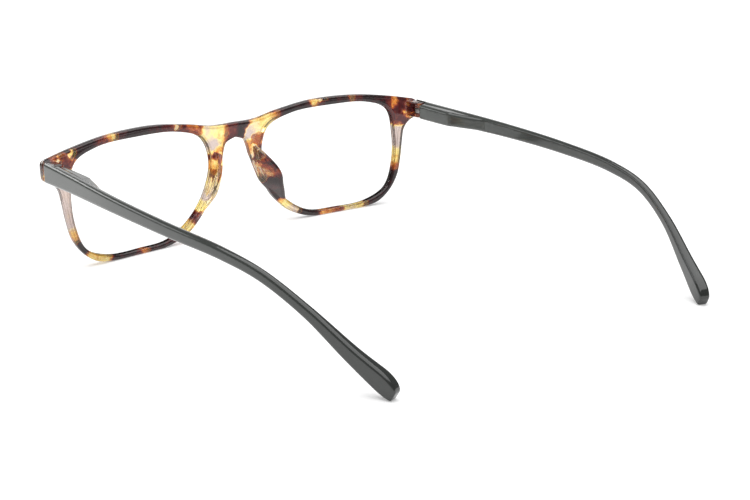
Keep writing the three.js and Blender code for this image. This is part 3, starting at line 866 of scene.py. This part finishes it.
RIM_SHADE_LINE = 0.75  # how far inside the outline the painted shade line lies, where the rounded edge begins
# Width and darkness of the painted shade lines.
SHADE_LINE_WIDTH = 0.24
SHADE_LINE_DEPTH = 0.9
PAD_SHADE_LIFT_X = 18  # the painted edge shade is mostly lifted from the nose pads' rounded sides inside this distance from the middle
PAD_TOP = 28
PAD_BLEND = 3
# How much of the painted edge shade the nose pads lose.
PAD_SHADE_LIFT = 0.75
# How strongly the painted edge shade follows a face's turn away from the front, and where it starts.
EDGE_SHADE_GAIN = 1.25
EDGE_SHADE_START = 0.1
SKIN_FADE_START = -70
SKIN_FADE_LENGTH = 135


def vertex_normals(piece):
    normals = np.zeros(len(piece.data.vertices) * 3)
    piece.data.vertices.foreach_get("normal", normals)
    return normals.reshape(-1, 3)


def store(piece, name, values):
    """Writes one number per point as an attribute of the mesh."""
    attribute = piece.data.attributes.new(name, "FLOAT", "POINT")
    attribute.data.foreach_set("value", values.astype(np.float32))


def paint_depth(piece):
    """Writes the depth attribute: the blotches' values blended by closeness, with wandering edges."""
    co = coordinates(piece)
    noise.seed_set(WANDER_SEED)
    x = co[:, 0].copy()
    z = co[:, 2].copy()
    for pitch, reach in WANDER:
        wander = np.array([noise.noise_vector(Vector(p) * pitch) for p in co]) * reach
        x += wander[:, 0]
        z += wander[:, 2]
    weights = np.full(len(co), FAR_WEIGHT)
    total = weights * FAR_DEPTH
    for bx, bz, rx, rz, depth in BLOTCHES:
        w = np.exp(-BLOTCH_FALL * (((x - bx) / rx) ** 2 + ((z - bz) / rz) ** 2))
        weights += w
        total += w * depth
    store(piece, "depth", total / weights)


def paint_edge_shade(piece):
    """Writes the painted edge shade: high on the plate's rounded edges and in lines along the groove and the
    outline, standing in for the darkening where light goes far through the plastic.
    """
    co = coordinates(piece)
    # Painted shade: the further a face turns from the front, the darker its colour is made.
    painted_edge_shade = np.clip(EDGE_SHADE_GAIN * (1 - np.abs(vertex_normals(piece)[:, 1])) - EDGE_SHADE_START, 0, 1)
    half = np.c_[np.abs(co[:, 0]), co[:, 2]]
    for outline, inset in ((opening(0, 20), GROOVE_SHADE_LINE), (front_outline(), RIM_SHADE_LINE)):
        tree = KDTree(len(outline))
        for i, (x, z) in enumerate(outline):
            tree.insert((x, z, 0), i)
        tree.balance()
        away = np.array([tree.find((x, z, 0))[2] for x, z in half])
        painted_edge_shade = np.maximum(painted_edge_shade, SHADE_LINE_DEPTH * np.exp(-((away - inset) / SHADE_LINE_WIDTH) ** 2))
    on_pad = np.clip((PAD_SHADE_LIFT_X - half[:, 0]) / PAD_BLEND, 0, 1) * (half[:, 1] < PAD_TOP)
    store(piece, "painted_edge_shade", painted_edge_shade * (1 - PAD_SHADE_LIFT * on_pad))


def paint_temple_light(piece, side):
    """Writes the skin attribute, which is painted light: outer, inner and top faces made lighter as if lit,
    palest on the outer face by the hinge, darker towards the tip.
    """
    co = coordinates(piece)
    normals = vertex_normals(piece)
    outer = np.clip(side * normals[:, 0], 0, 1)
    inner = np.clip(-side * normals[:, 0], 0, 1)
    top = np.clip(normals[:, 2], 0, 1)
    fade = np.clip(1.0 - (co[:, 1] - SKIN_FADE_START) / SKIN_FADE_LENGTH, 0, 1)
    # Painted light: the outer, inner and top faces are made lighter as lit faces, most near the hinge; the
    # fade makes the colour darker towards the tip.
    value = 0.14 + 0.2 * fade + outer * (0.16 + 0.1 * fade) + inner * (0.06 + 0.14 * fade**2) + top * 0.04
    store(piece, "skin", value)


# ---- Assembly ----
TORTOISE = tortoise_material()
SMOKE = smoke_material()
CLEAR_LENS = lens_material()
STEEL = steel_material("turned_steel", (0.26, 0.25, 0.24), (1, 1, 8))
SPRING_STEEL = steel_material("drawn_steel", (0.46, 0.47, 0.48), (6, 1, 6))


def settle(piece, body, look, node):
    """Gives the piece its material and body, and puts it in place of its CAD node."""
    piece.data.materials.clear()
    piece.data.materials.append(look)
    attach(piece, body)
    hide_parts(node)


front = build_front()
paint_depth(front)
# Painted shade on the front's edges and in lines along the groove and outline.
paint_edge_shade(front)
settle(front, "front", TORTOISE, "front_frame")

lens = build_lens()
lens_right = mirror_copy(lens, "lens_right_glass")
settle(lens, "front", CLEAR_LENS, "lens_left")
settle(lens_right, "front", CLEAR_LENS, "lens_right")

arm = build_temple()
arm_right = mirror_copy(arm, "temple_right_arm")
# Painted light on the temples' outer, inner and top faces.
paint_temple_light(arm, 1)
paint_temple_light(arm_right, -1)
settle(arm, "temple_left", SMOKE, "temple_left")
settle(arm_right, "temple_right", SMOKE, "temple_right")

for side in ("left", "right"):
    # Each metal piece's node, its body and the width of its broken edges.
    metal_pieces = (
        ("spring_housing", f"temple_{side}", 0.12), ("hinge_slider", f"slider_{side}", 0.08),
        ("rod_collar", f"slider_{side}", 0.06), ("hinge_screw", "front", 0.08), ("hinge_nut", "front", 0.06),
    )
    for node, body, edge in metal_pieces:
        metal = refined(f"{node}_{side}", f"{node}_{side}_fine", edge)
        settle(metal, body, STEEL, f"{node}_{side}")
    coil = build_spring(f"coil_{side}", f"coil_spring_{side}")
    settle(coil, f"temple_{side}", SPRING_STEEL, f"coil_spring_{side}")
    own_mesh(coil)

# ---- Floor, light and camera ----
scene = bpy.context.scene
scene.view_settings.view_transform = "Standard"

FLOOR_HALF = 1600
floor_corners = [(x * FLOOR_HALF, y * FLOOR_HALF, 0) for x, y in ((-1, -1), (1, -1), (1, 1), (-1, 1))]
floor = new_piece("floor", floor_corners, [(0, 1, 2, 3)])
floor.data.materials.append(floor_material())

world = bpy.data.worlds.new("studio")
world.use_nodes = True
background = world.node_tree.nodes["Background"]
background.inputs["Color"].default_value = (1, 1, 1, 1)
background.inputs["Strength"].default_value = 0.2
scene.world = world


def softbox(name, place, size, power):
    """A rectangular light aimed at the glasses; place and size are in metres and power in watts."""
    light = bpy.data.lights.new(name, "AREA")
    light.shape = "RECTANGLE"
    light.size, light.size_y = size
    light.energy = power
    lamp = bpy.data.objects.new(name, light)
    lamp.location = place
    lamp.rotation_mode = "QUATERNION"
    lamp.rotation_quaternion = (Vector((0, 0, 0.02)) - Vector(place)).to_track_quat("-Z", "Y")
    scene.collection.objects.link(lamp)


softbox("overhead", (0, 0.1, 1.2), (2.0, 2.0), 26)
softbox("far_side", (-1.2, -1.5, 0.45), (2.4, 0.8), 5.4)
softbox("front_strip", (0.5, -1.8, 0.95), (2.0, 0.35), 8)


def aim_camera():
    """The photograph's view: from behind the glasses on the wearer's left, a little above."""
    azimuth = math.radians(141.75)
    elevation = math.radians(16.56)
    roll = math.radians(-0.67)
    data = bpy.data.cameras.new("camera")
    data.sensor_width = 36
    data.lens = 79.2
    camera = bpy.data.objects.new("camera", data)
    level = math.cos(elevation)
    back = Vector((math.sin(azimuth) * level, -math.cos(azimuth) * level, math.sin(elevation)))
    right = Vector((0, 0, 1)).cross(back).normalized()
    up = back.cross(right)
    turned_right = math.cos(roll) * right + math.sin(roll) * up
    turned_up = back.cross(turned_right)
    turn = Matrix((turned_right, turned_up, back)).transposed()
    place = (0.27595, 0.421 + SHIFT * MM, 0.1416)
    camera.matrix_world = Matrix.Translation(place) @ turn.to_4x4()
    scene.collection.objects.link(camera)
    scene.camera = camera


aim_camera()
